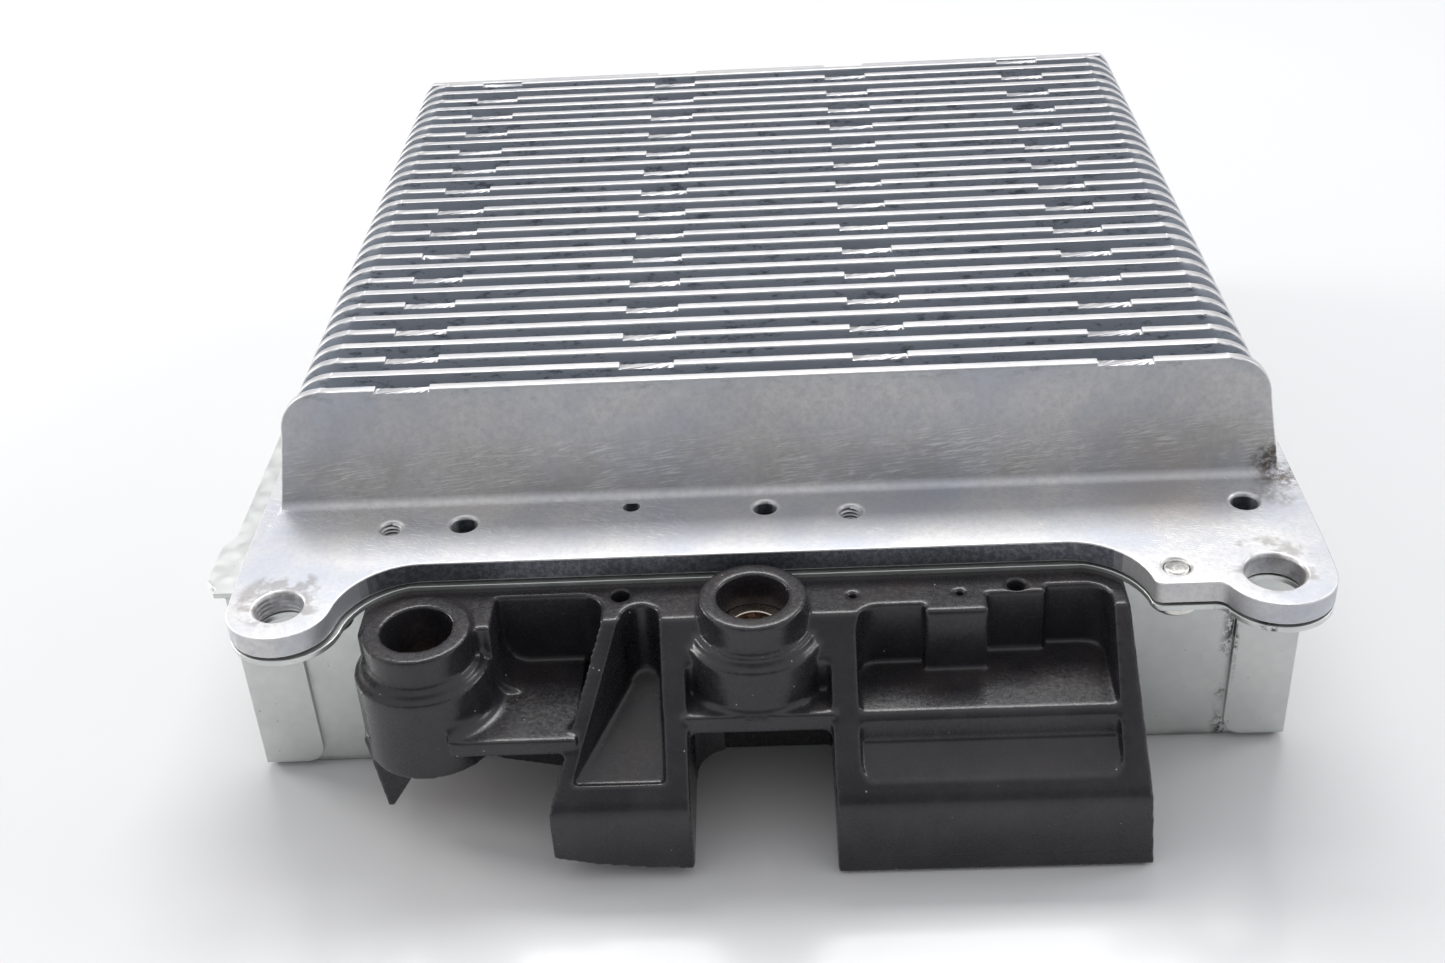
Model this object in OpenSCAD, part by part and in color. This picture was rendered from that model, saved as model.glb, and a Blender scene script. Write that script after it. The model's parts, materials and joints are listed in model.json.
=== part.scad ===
// Fin-cooled power converter: cast heatsink lid over a folded steel tray,
// with a moulded terminal block on the front face.
// X runs along the fins, Y from front to back, Z up.
// The origin is on the resting plane, under the middle of the fin block.

/* [Heatsink] */
// Width of the front wall of the fin block at its foot
fin_block_w = 200; // [180:1:220]
// Number of cooling fins, the front wall included
fin_count = 30; // [20:1:30]
// Distance from one fin to the next
fin_pitch = 5.95; // [5.5:0.05:6]
// Height of the fins above the plate
fin_h = 25.4; // [15:0.1:40]
// Thickness of a fin at its top
fin_tip_t = 2.1; // [1.5:0.1:2.6]
// Thickness of a fin at its root
fin_root_t = 3; // [2.6:0.1:3.6]
// Lean of the fin ends from foot to top
fin_end_lean = 3.3; // [1:0.1:6]
// Thickness of the cast plate
plate_t = 4.5; // [4:0.1:6]
// Depth of the ejector notches in the fin tops
notch_d = 0.7; // [0.3:0.1:1.5]
// Length of the ejector notches
notch_w = 10.6; // [6:0.1:14]

/* [Tray] */
// Outside width of the steel tray
tray_w = 208.9; // [200:0.1:215]
// Outside depth of the steel tray
tray_d = 211; // [205:0.5:220]
// Height of the tray walls
tray_h = 44.3; // [40:0.1:50]
// Sheet thickness
sheet_t = 1.2; // [0.8:0.1:1.5]
// Width of the welded corner flaps
flap_w = 12.5; // [8:0.5:20]

/* [Fastening] */
// Bore of the left fixing lug
lug_bore_l = 9; // [8:0.5:10]
// Bore of the right fixing lug
lug_bore_r = 10.8; // [9:0.1:12]
// Thread bore for the tray screws and bracket screws
thread_bore = 5; // [4:0.1:5.2]

/* [Terminal block] */
// How far the hoods stand out from the tray
hood_reach = 34.5; // [30:0.5:40]
// Gap under the hoods
hood_clear = 0.8; // [0.5:0.1:3]
// Outside diameter of the terminal bosses
boss_od = 20.4; // [18:0.1:24]
// Bore of the terminal bosses
boss_bore = 13.4; // [10:0.1:15]

/* [Electronics] */
// Thickness of the circuit boards
board_t = 1.6; // [1:0.2:2]
// Width of the power board
board_w = 186; // [150:1:190]
// Depth of the power board
board_d = 184; // [150:1:190]

/* [Hidden] */

$fn = 48;
eps = 0.01;
// How far a cutting shape stands out past the part it cuts
over = 1;

gasket_t = 0.6;
frame_z = tray_h;
gasket_z = frame_z + sheet_t;
plate_z = gasket_z + gasket_t;
plate_top = plate_z + plate_t;

// Places in Y: the wall foot is the front of the fin block.
wall_y = -88;
wall_lean = 2;
wall_fillet = 2.6;
strip_d = 21;
plate_front = wall_y - strip_d;
tray_front = wall_y - 21.5;
tray_back = tray_front + tray_d;
plate_back = tray_back + 1.3;
tray_left = -107.4;
tray_right = tray_left + tray_w;
plate_left = -103.4;
plate_right = 102.8;
strip_left = -109.6;

// Fins: how deep they root in the plate, how far they stop short of the wall
// ends, the rounding of their top corners and the drop of the last one.
root_sink = 0.4;
fin_inset = 1.3;
fin_corner_rad = 8.5;
last_fin_drop = 1.6;
notch_x_even = [-71.9, 68.6];
notch_x_odd = [-24.2, 21.8];

// Lugs and fixing holes of the plate.
lug_l = [-92.8, -121];
lug_r = [92, -120.3];
lug_rad_l = 10;
lug_rad_r = 10.5;
lug_hole_l = [-93, -121.1];
lug_hole_r = [91.3, -120.5];
sweep_l_rad = 15.2;
sweep_r_rad = 14.6;
sweep_r = [54.6, plate_front - sweep_r_rad];
pad_front = -123.3;
pad_rad = 2;
lug_fillet_rad = 2.6;
threads_m5 = [[-76.1, -96.4], [14.9, -96.2]];
plain_holes = [[-61.6, -95.9], [91.1, -97.5]];
plain_d = 5.2;
dowel_hole = [-1.9, -93.7];
dowel_d = 4.4;
small_thread = [-28.5, -91.8];
small_thread_d = 3.3;
rear_holes = [[-88, 95.5], [88, 95.5]];
rear_hole_d = 6.6;
chamfer_d = 0.5;

// Screws that hold the tray, from below.
tray_screw_at = [[74, -117.8], [-85.8, -115.5]];
rear_screw_at = [[-52, 106.8], [0, 106.8], [52, 106.8]];
rear_ear_rad = 6.5;
blind_skin = 1.3;
screw_head_d = 9.4;
screw_head_h = 3.8;
screw_l = plate_top - frame_z - 0.2;

// Underside of the casting.
board_z = 30;
boss_d = 8;
board_posts = [[-86, -86], [0, -86], [86, -86], [-86, 0], [86, 0], [-86, 84], [0, 84], [86, 84]];
post_bore = 2.9;
post_bore_l = 13;
pad_t = 0.4;
block_z = plate_z - 4;

// Transistors on the cast rail along the left and right.
transistor_w = 15.6;
transistor_l = 20.6;
transistor_t = 4.8;
transistor_pitch = 25;
transistor_rows = [-62, 62];
transistor_count = 5;
transistor_y0 = -52;
transistor_run = transistor_pitch * (transistor_count - 1);
lead_pitch = 5.1;
lead_w = 1;
rail_w = 28;
rail_end = 12;
bed_w = 60;
bed_d = 54;
bar_t = 1.6;
bar_w = 8;
small_screw_d = 2.9;
small_head_d = 5.6;
small_head_h = 2.2;

// Transformer in the middle, choke behind it.
core_w = 54;
core_d = 48;
core_half = 13;
core_leg = 13;
core_web = 7;
trafo_at = [0, -34];
choke_at = [0, 38];
choke_od = 46;
choke_id = 22;
choke_h = 20;

can_d = 16;
can_l = 22;

// Terminal block, measured from the tray front face and the plate top.
blk_top = -6;
hood_y = -11.5;
hood_front = -hood_reach;
hood_bend_z = -33;
hood_bottom = -(plate_top - hood_clear);
blk_left = -79;
hood_r_x0 = 9.3;
hood_r_x1 = 67.6;
hood_l_x0 = -33.3;
hood_l_x1 = -44.3;
hood_l_x2 = -17.2;
boss_l = [-67.5, -13.4];
boss_c = [-4.5, -10.4];
boss_l_top = -5;
boss_c_top = -2;
boss_ring_h = 6.5;
boss_base_l_r = 12.9;
boss_base_c_r = 13.2;
boss_l_floor = -31;
boss_c_floor = -20.5;
neck_x0 = -75;
neck_x1 = 60;
neck_z0 = -37;
neck_z1 = -15;
neck_in = 8;
bush_od = boss_bore;
bush_bore = 8.4;
web_z = -23.6;
web_top = -19.6;
web_d = 24.2;
web_rad = 1.8;
fill_d = 17;
gap_w = hood_r_x0 - hood_l_x2;
apron_z = -46.2;
// Gusset under the web, beside the left hood: its front face, underside, thickness, width and corner.
gusset_y = -12;
gusset_z = -38.7;
gusset_t = 3;
gusset_w = 6.3;
gusset_rad = 7.5;
bend_rad = 6;
shelf_top = -21.6;
shelf_t = 3.4;
shelf_x0 = -62;
shelf_d = 27;
recess_rad = 5;
flank_r = 5.5;
pocket_floor = -19.7;
pocket_corner = 4.5;
// Bays of the right hood's pocket: left, right and back edge of each.
right_pockets = [[14, 27.6, -9.3], [27.5, 39.4, -12], [39.3, 50.6, -6.6], [50.5, 63, -4.8]];
ledge_y = -24.5;
ledge_z = -26.3;
panel_end = [-31.4, -29.8];
blind_holes = [[-29.9, -3.6, 3.6], [14.3, -6, 1.6], [34.4, -6.2, 1.6], [45.2, -4.4, 3.4]];
block_screw_at = [[-50, -9.2], [20, -9.2], [16, -44], [60, -44]];
seal_t = 1.6;
busbar_t = 2;
bar_half = 5;
bar_in = 26;
pin_count = 10;
pin_pitch = 3.5;
pin_x0 = 22;
pin_d = 1;
pin_y = [-14.5, -10];
pin_z = [-27.5, -29];

// Tray details.
rim_w = 9;
ear_shift = 0.9;
ear_bore_l = 10;
ear_bore_r = 11.4;
screw_clear = 5.4;
bend_r = 1.8;
flap_foot = 1.6;
flap_corner = 4;
weld_in = 6.4;
weld_d = 5.6;
weld_t = 0.2;
weld_z = 30.8;
vent_x = 60;
vent_z = 30;
vent_d = 8;
vent_cap_d = 14;
vent_cap_h = 2.4;
vent_lip_d = 10.5;
vent_lip_h = 2.5;
vent_bore = 5;

// Electronics details.
transistor_y = [for (i = [0:transistor_count - 1]) transistor_y0 + i * transistor_pitch];
clamp_screw_y = [for (i = [0:transistor_count - 2]) transistor_y0 + (i + 0.5) * transistor_pitch];
core_window = 12;
core_mid = core_w - 2 * core_web - 2 * core_window;
choke_z = 20;
liner_t = 0.5;
can_at = [for (x = [-78, -58, 58, 78]) for (y = [-66, 66]) [x, y]];
film_at = [for (x = [-32, 0, 32]) [x, 78]];
film_size = [26, 12, 16];
control_at = [-84, -22];
control_z = 10;
control_size = [64, 44];
control_holes = [for (x = [4, control_size[0] - 4]) for (y = [4, control_size[1] - 4]) [x, y]];
chip_t = 1.6;
// Chips under the control board: place and size of each.
chips = [[[12, 12], [14, 14]], [[36, 10], [10, 6]], [[36, 24], [10, 8]]];

// ---------- shared shapes ----------

// Screw with a domed pan head below and its shank pointing up from z = 0.
module pan_screw(shank_d, shank_l, head_d, head_h) {
    tip = shank_d * 0.16;
    dome = head_d * 0.66;
    cylinder(d = shank_d, h = shank_l - tip, $fn = 32);
    translate([0, 0, shank_l - tip]) cylinder(d1 = shank_d, d2 = shank_d - 1.1 * tip, h = tip, $fn = 32);
    difference() {
        rotate_extrude($fn = 48) intersection() {
            translate([0, dome - head_h]) circle(r = dome, $fn = 64);
            translate([0, -head_h]) square([head_d / 2, head_h]);
        }
        translate([0, 0, -head_h - eps]) cylinder(d = head_d * 0.42, h = head_h * 0.5, $fn = 6);
    }
}

// Rectangle with round corners, exact arcs.
module round_rect(x0, y0, x1, y1, r) {
    translate([x0 + r, y0]) square([x1 - x0 - 2 * r, y1 - y0]);
    translate([x0, y0 + r]) square([x1 - x0, y1 - y0 - 2 * r]);
    for (x = [x0 + r, x1 - r]) for (y = [y0 + r, y1 - r]) translate([x, y]) circle(r = r);
}

// Fills an inside corner at [x, y]: sx and sy point into the open side.
module corner_fill(x, y, r, sx, sy) {
    difference() {
        translate([sx > 0 ? x : x - r, sy > 0 ? y : y - r]) square([r, r]);
        translate([x + sx * r, y + sy * r]) circle(r = r, $fn = 96);
    }
}

// ---------- heatsink ----------

// Centre, on the line y = level, of a circle of radius r that touches circle c from outside.
function beside(c, c_rad, r, level, way) =
    [c[0] + way * sqrt(pow(c_rad + r, 2) - pow(level - c[1], 2)), level];

// Point a little inside circle c, turned by `turn` degrees from the direction of d.
function toward(c, c_rad, d, turn) =
    let (a = atan2(d[1] - c[1], d[0] - c[0]) + turn) c + (c_rad - 0.5) * [cos(a), sin(a)];

module lug_left() {
    sweep = beside(lug_l, lug_rad_l, sweep_l_rad, plate_front - sweep_l_rad, 1);
    translate(lug_l) circle(r = lug_rad_l, $fn = 96);
    polygon([[lug_l[0] - lug_rad_l, lug_l[1]], lug_l, [lug_l[0], plate_front + eps],
             [plate_left, plate_front + eps]]);
    difference() {
        polygon([lug_l, toward(sweep, sweep_l_rad, lug_l, 1.5), sweep, [sweep[0], plate_front + eps],
                 [lug_l[0] - eps, plate_front + eps]]);
        translate(sweep) circle(r = sweep_l_rad, $fn = 96);
    }
}

// Right lug, with a flat pad beside it for the tray screw.
module lug_right() {
    corner = beside(sweep_r, sweep_r_rad, pad_rad, pad_front + pad_rad, 1);
    fillet = beside(lug_r, lug_rad_r, lug_fillet_rad, pad_front - lug_fillet_rad - eps, -1);
    translate(lug_r) circle(r = lug_rad_r, $fn = 96);
    polygon([lug_r, [lug_r[0] + lug_rad_r, lug_r[1]], [plate_right, plate_front + eps],
             [lug_r[0], plate_front + eps]]);
    translate(corner) circle(r = pad_rad, $fn = 96);
    difference() {
        polygon([[sweep_r[0], plate_front + eps], sweep_r, toward(sweep_r, sweep_r_rad, corner, -1.5), corner,
                 [corner[0], pad_front], [fillet[0], pad_front], fillet,
                 toward(fillet, lug_fillet_rad, lug_r, -6), lug_r, [lug_r[0] + eps, plate_front + eps]]);
        translate(sweep_r) circle(r = sweep_r_rad, $fn = 96);
        translate(fillet) circle(r = lug_fillet_rad, $fn = 96);
    }
}

module plate_outline() {
    translate([plate_left, plate_front]) square([plate_right - plate_left, plate_back - plate_front]);
    lug_left();
    lug_right();
}

// One side of the fin ends: a leaning end with a round top corner.
module fin_end_profile(half_w, r) {
    top_x = half_w - fin_end_lean;
    polygon([[-half_w, -root_sink], [half_w, -root_sink], [top_x + 0.4, fin_h - r], [top_x - r, fin_h],
             [r - top_x, fin_h], [-top_x - 0.4, fin_h - r]]);
    for (s = [-1, 1]) translate([s * (top_x - r + 0.4), fin_h - r]) circle(r = r);
}

// Front edge of the top of fin k.
function fin_y(k) = wall_y + wall_lean + fin_pitch * k;

// The last fin stands a little lower than the rest.
function fin_top(k) = k == fin_count - 1 ? fin_h - last_fin_drop : fin_h;

module fin_section(k) {
    y = fin_y(k);
    draft = (fin_root_t - fin_tip_t) / 2;
    polygon([[y - draft, -root_sink], [y + fin_tip_t + draft, -root_sink], [y + fin_tip_t, fin_top(k)], [y, fin_top(k)]]);
}

module wall_section() {
    y = wall_y + wall_lean;
    polygon([[wall_y, -root_sink], [y + fin_tip_t + 0.6, -root_sink], [y + fin_tip_t, fin_h], [y, fin_h],
             [wall_y, 0]]);
    corner_fill(wall_y + 0.25, -eps, wall_fillet, -1, 1);
}

module fins() {
    translate([0, 0, plate_top]) {
        intersection() {
            translate([-fin_block_w / 2, 0, 0]) rotate([90, 0, 90])
                linear_extrude(fin_block_w) for (k = [1:fin_count - 1]) fin_section(k);
            translate([0, tray_d, 0]) rotate([90, 0, 0])
                linear_extrude(2 * tray_d) fin_end_profile(fin_block_w / 2 - fin_inset, fin_corner_rad);
        }
        intersection() {
            translate([-fin_block_w / 2, 0, 0]) rotate([90, 0, 90])
                linear_extrude(fin_block_w) wall_section();
            translate([0, wall_y + 20, 0]) rotate([90, 0, 0])
                linear_extrude(40) fin_end_profile(fin_block_w / 2, fin_corner_rad + 0.2);
        }
    }
}

// Notches left by the ejector pins: outer pair on even fins, inner pair on odd fins.
module fin_notches() {
    for (k = [0:fin_count - 1]) {
        for (x = k % 2 == 0 ? notch_x_even : notch_x_odd)
            translate([x - notch_w / 2, fin_y(k) - 1, plate_top + fin_top(k) - notch_d])
                cube([notch_w, fin_tip_t + 2, notch_d + 1]);
    }
}

module board_posts_solid() {
    for (p = board_posts) translate([p[0], p[1], board_z])
        cylinder(d = boss_d, h = plate_z - board_z + 0.5);
}

// Countersink at the top of a hole of diameter d in the plate.
module chamfer(at, d) {
    translate([at[0], at[1], plate_top - chamfer_d])
        cylinder(d1 = d, d2 = d + 2 * chamfer_d + 0.02, h = chamfer_d + 0.01);
}

module heatsink() {
    color([0.72, 0.73, 0.74]) difference() {
        union() {
            translate([0, 0, plate_z]) linear_extrude(plate_t) plate_outline();
            for (p = rear_screw_at) translate([p[0], p[1], plate_z]) cylinder(r = rear_ear_rad, h = plate_t);
            fins();
            board_posts_solid();
            // raised rails that carry the transistors, and the transformer bed
            for (x = transistor_rows)
                translate([x - rail_w / 2, transistor_y0 - rail_end, block_z])
                    cube([rail_w, transistor_run + 2 * rail_end + 2, plate_z - block_z + 0.5]);
            translate([trafo_at[0] - bed_w / 2, trafo_at[1] - bed_d / 2, block_z])
                cube([bed_w, bed_d, plate_z - block_z + 0.5]);
        }
        fin_notches();
        translate([lug_hole_l[0], lug_hole_l[1], plate_z - 1]) cylinder(d = lug_bore_l, h = plate_t + 2);
        chamfer(lug_hole_l, lug_bore_l);
        translate([lug_hole_r[0], lug_hole_r[1], plate_z - 1]) cylinder(d = lug_bore_r, h = plate_t + 2);
        chamfer(lug_hole_r, lug_bore_r);
        for (p = threads_m5) translate([p[0], p[1], plate_z - 1]) cylinder(d = thread_bore - 0.7, h = plate_t + 2);
        for (p = plain_holes) translate([p[0], p[1], plate_z - 1]) cylinder(d = plain_d, h = plate_t + 2);
        translate([dowel_hole[0], dowel_hole[1], plate_z - 1]) cylinder(d = dowel_d, h = plate_t + 2);
        translate([small_thread[0], small_thread[1], plate_z - 1])
            cylinder(d = small_thread_d, h = plate_t + 4);
        for (p = concat([tray_screw_at[0]], rear_screw_at))
            translate([p[0], p[1], plate_z - 1]) cylinder(d = thread_bore, h = plate_t + 2);
        // the left tray screw goes into a blind hole
        translate([tray_screw_at[1][0], tray_screw_at[1][1], plate_z - 1])
            cylinder(d = thread_bore, h = plate_t + 1 - blind_skin);
        for (p = rear_holes) translate([p[0], p[1], plate_z - 1]) cylinder(d = rear_hole_d, h = plate_t + 2);
        for (p = threads_m5) chamfer(p, thread_bore - 0.7);
        for (p = plain_holes) chamfer(p, plain_d);
        chamfer(dowel_hole, dowel_d);
        chamfer(tray_screw_at[0], thread_bore);
        for (p = board_posts) translate([p[0], p[1], board_z - over]) cylinder(d = post_bore, h = post_bore_l);
        for (x = transistor_rows) for (y = clamp_screw_y)
            translate([x, y, block_z - over]) cylinder(d = small_screw_d, h = 7);
    }
}

// ---------- steel tray ----------

module lug_ears_outline() {
    intersection() {
        plate_outline();
        translate([plate_left - 5, lug_l[1] - 30]) square([220, plate_front - lug_l[1] + 31]);
    }
}

module flange_outline() {
    translate([strip_left, tray_front]) square([tray_right - strip_left, tray_d]);
    lug_ears_outline();
    translate([ear_shift, 0]) intersection() {
        lug_ears_outline();
        translate([plate_left, lug_l[1] - 30]) square([40, 60]);
    }
    polygon([[strip_left, -90], [strip_left - 2.1, -94], [strip_left - 2.1, -105.4],
             [strip_left - 0.8, -107.2], [lug_l[0] - 8, -112], [lug_l[0], -100], [strip_left + 2, -88]]);
    for (p = rear_screw_at) translate([p[0], p[1]]) circle(r = rear_ear_rad);
}

module flange_opening() {
    round_rect(tray_left + rim_w, tray_front + rim_w, tray_right - rim_w, tray_back - rim_w, 6);
}

module flange_frame() {
    color([0.75, 0.77, 0.75]) translate([0, 0, frame_z]) difference() {
        linear_extrude(sheet_t) difference() {
            flange_outline();
            flange_opening();
        }
        translate([lug_hole_l[0], lug_hole_l[1], -1]) cylinder(d = ear_bore_l, h = sheet_t + 2);
        translate([lug_hole_r[0], lug_hole_r[1], -1]) cylinder(d = ear_bore_r, h = sheet_t + 2);
        for (p = concat(tray_screw_at, rear_screw_at))
            translate([p[0], p[1], -1]) cylinder(d = screw_clear, h = sheet_t + 2);
        for (p = rear_holes) translate([p[0], p[1], -1]) cylinder(d = rear_hole_d + 1, h = sheet_t + 2);
    }
}

module lid_gasket() {
    color([0.12, 0.12, 0.13]) translate([0, 0, gasket_z]) linear_extrude(gasket_t) difference() {
        round_rect(plate_left + 1.5, tray_front + 1.5, tray_right - 1.5, tray_back - 1.5, 3);
        flange_opening();
        for (p = rear_holes) translate([p[0], p[1]]) circle(d = rear_hole_d + 1);
    }
}

module box_shape(x0, y0, z0, x1, y1, z1, r) {
    intersection() {
        translate([0, y1, 0]) rotate([90, 0, 0]) linear_extrude(y1 - y0) round_rect(x0, z0, x1, z1 + 2 * r, r);
        translate([x0, 0, 0]) rotate([90, 0, 90]) linear_extrude(x1 - x0) round_rect(y0, z0, y1, z1 + 2 * r, r);
        translate([x0, y0, z0]) cube([x1 - x0, y1 - y0, z1 - z0]);
    }
}

// Flap outline on an end face: x grows from the tray side, round lower corner.
module flap_outline() {
    translate([0, flap_foot]) square([flap_w - flap_corner, frame_z - flap_foot]);
    translate([0, flap_foot + flap_corner]) square([flap_w, frame_z - flap_foot - flap_corner]);
    translate([flap_w - flap_corner, flap_foot + flap_corner]) circle(r = flap_corner);
}

module end_flaps() {
    translate([tray_left, sheet_t, 0]) rotate([90, 0, 0]) linear_extrude(sheet_t) flap_outline();
    translate([tray_right, sheet_t, 0]) rotate([90, 0, 0]) linear_extrude(sheet_t)
        mirror([1, 0]) flap_outline();
}

module tray() {
    color([0.70, 0.73, 0.71]) difference() {
        union() {
            difference() {
                box_shape(tray_left, tray_front + sheet_t, 0, tray_right, tray_back - sheet_t, frame_z, bend_r);
                box_shape(tray_left + sheet_t, tray_front + 2 * sheet_t, sheet_t,
                          tray_right - sheet_t, tray_back - 2 * sheet_t, frame_z + 3, bend_r - 0.4);
            }
            translate([0, tray_front, 0]) end_flaps();
            translate([0, tray_back - sheet_t, 0]) end_flaps();
        }
        // window for the neck of the terminal block
        translate([0, tray_front + 4, plate_top]) rotate([90, 0, 0]) linear_extrude(5)
            round_rect(neck_x0 - 0.3, neck_z0 - 0.3, neck_x1 + 0.3, neck_z1 + 0.3, 3);
        for (p = block_screw_at) translate([p[0], tray_front, plate_top + p[1]])
            rotate([-90, 0, 0]) cylinder(d = 3.6, h = 4);
        translate([vent_x, tray_back + 1, vent_z]) rotate([90, 0, 0]) cylinder(d = vent_d, h = 6);
    }
}

module spot_welds() {
    color([0.55, 0.57, 0.56]) for (x = [tray_left + weld_in, tray_right - weld_in]) {
        translate([x, tray_front, weld_z]) rotate([90, 0, 0]) cylinder(d = weld_d, h = weld_t);
        translate([x, tray_back, weld_z]) rotate([-90, 0, 0]) cylinder(d = weld_d, h = weld_t);
    }
}

module tray_screws() {
    color([0.8, 0.8, 0.78]) for (p = concat(tray_screw_at, rear_screw_at)) translate([p[0], p[1], frame_z])
        pan_screw(thread_bore, p == tray_screw_at[1] ? screw_l - blind_skin : screw_l, screw_head_d, screw_head_h);
}

module pressure_vent() {
    color([0.15, 0.15, 0.16]) translate([vent_x, tray_back - sheet_t, vent_z]) rotate([-90, 0, 0]) {
        cylinder(d = vent_cap_d, h = vent_cap_h);
        translate([0, 0, -sheet_t]) cylinder(d = vent_d, h = sheet_t);
        translate([0, 0, -sheet_t - vent_lip_h]) difference() {
            cylinder(d = vent_lip_d, h = vent_lip_h);
            translate([0, 0, -over]) cylinder(d = vent_bore, h = vent_lip_h + over / 2);
        }
    }
}

// ---------- terminal block ----------

// Side view of a hood: flat top, slope, round bend, upright front.
function bend_tan() = atan2(hood_y - hood_front, blk_top - hood_bend_z);
function bend_len() = bend_rad * tan(bend_tan() / 2);
function bend_arc() = [for (i = [0:8]) let (a = 180 - bend_tan() * (1 - i / 8))
    [hood_front + bend_rad + bend_rad * cos(a), hood_bend_z - bend_len() + bend_rad * sin(a)]];

module hood_profile() {
    polygon(concat([[0, hood_bottom], [0, blk_top], [hood_y, blk_top]], bend_arc(), [[hood_front, hood_bottom]]));
}

// Extrudes a side view (y, z) from x0 to x1.
module along_x(x0, x1) {
    translate([x0, 0, 0]) rotate([90, 0, 90]) linear_extrude(x1 - x0) children();
}

// Extrudes a front view (x, z) from y1 back to y0.
module along_y(y0, y1) {
    translate([0, y1, 0]) rotate([90, 0, 0]) linear_extrude(y1 - y0) children();
}

// Everything above the stepped floor of the right hood's pocket.
module right_pocket_cut(x0, x1, back) {
    along_x(x0, x1) polygon([[back, 1], [back, pocket_floor], [ledge_y, pocket_floor - 0.4],
        [ledge_y - 0.2, ledge_z], [panel_end[0], panel_end[1]], [hood_front - 5, panel_end[1]], [hood_front - 5, 1]]);
}

module right_hood() {
    difference() {
        intersection() {
            along_x(hood_r_x0, hood_r_x1 + 2) hood_profile();
            along_y(hood_front - 1, 1) polygon([[hood_r_x0, 0], [hood_r_x1 - 2.6, 0],
                [hood_r_x1 + 1.3, hood_bottom], [hood_r_x0 + 0.5, hood_bottom]]);
        }
        intersection() {
            union() {
                for (p = right_pockets) right_pocket_cut(p[0], p[1], p[2]);
            }
            translate([0, 0, -40]) linear_extrude(45) {
                round_rect(14.6, -33, 39.6, -9.3, pocket_corner);
                round_rect(30, -33, 62.4, -4.8, pocket_corner);
            }
        }
        along_x(13.4, 63.6) polygon([[-4.6, hood_bottom - 1], [-4.6, -24], [-20.5, -24],
            [-21.5, -30], [-30.5, -33.5], [-30.5, hood_bottom - 1]]);
    }
}

module left_hood_plan() {
    polygon([[hood_l_x0, 1], [hood_l_x0, hood_y], [hood_l_x1, hood_front - 1],
             [hood_l_x2, hood_front - 1], [hood_l_x2 - 0.3, hood_y], [hood_l_x2, 1]]);
}

module left_pocket_plan() {
    translate([-25.9, -10.3]) circle(r = 3.5);
    polygon([[-29.4, -10.3], [-22.4, -10.3], [-21.7, -31], [-38.9, -31], [-38.9, -30.4]]);
}

module left_hood() {
    difference() {
        intersection() {
            along_x(hood_l_x1 - 1, hood_l_x2 + 1) hood_profile();
            translate([0, 0, -60]) linear_extrude(60) left_hood_plan();
            along_y(hood_front - 1, 1) polygon([[hood_l_x1 - 2, 0], [hood_l_x1 - 2, -43.8], [hood_l_x1, -44.3],
                [-36, -46.2], [-26, -47.5], [hood_l_x2 + 1, -48], [hood_l_x2 + 1, 0]]);
        }
        intersection() {
            translate([0, 0, -40]) linear_extrude(45) left_pocket_plan();
            along_x(-45, -15) polygon([[-5, 1], [-5, -20.7], [-31, -29.9], [-31, 1]]);
        }
        intersection() {
            translate([0, 0, -60]) linear_extrude(28) polygon([[-30, -5], [-20.8, -5], [-20.8, -30.5],
                [-39.8, -30.5], [-34, -16]]);
            along_x(-45, -15) polygon([[-5, -60], [-5, -26], [-18, -28.5], [-30.5, -34], [-30.5, -60]]);
        }
    }
}

module boss(at, top, floor_z, base_r) {
    translate([at[0], at[1], 0]) {
        translate([0, 0, floor_z]) cylinder(d = boss_od, h = top - floor_z, $fn = 72);
        translate([0, 0, floor_z]) cylinder(r = base_r, h = top - boss_ring_h - floor_z - 1.5, $fn = 72);
        translate([0, 0, top - boss_ring_h - 1.5 - eps]) difference() {
            cylinder(r = base_r, h = 1.5, $fn = 72);
            rotate_extrude($fn = 72) translate([base_r, 1.5]) circle(r = 1.5, $fn = 32);
        }
    }
}

// Concave ring that blends a round foot of radius r into the floor.
module foot_fillet(r, blend) {
    rotate_extrude($fn = 96) difference() {
        translate([r - 2, 0]) square([blend + 2, blend]);
        translate([r + blend, blend]) circle(r = blend, $fn = 48);
    }
}

module bar_slot(x, z) {
    translate([x - bar_half - 0.1, -1, z - 0.1]) cube([2 * bar_half + 0.2, 14, busbar_t + 0.2]);
}

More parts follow.
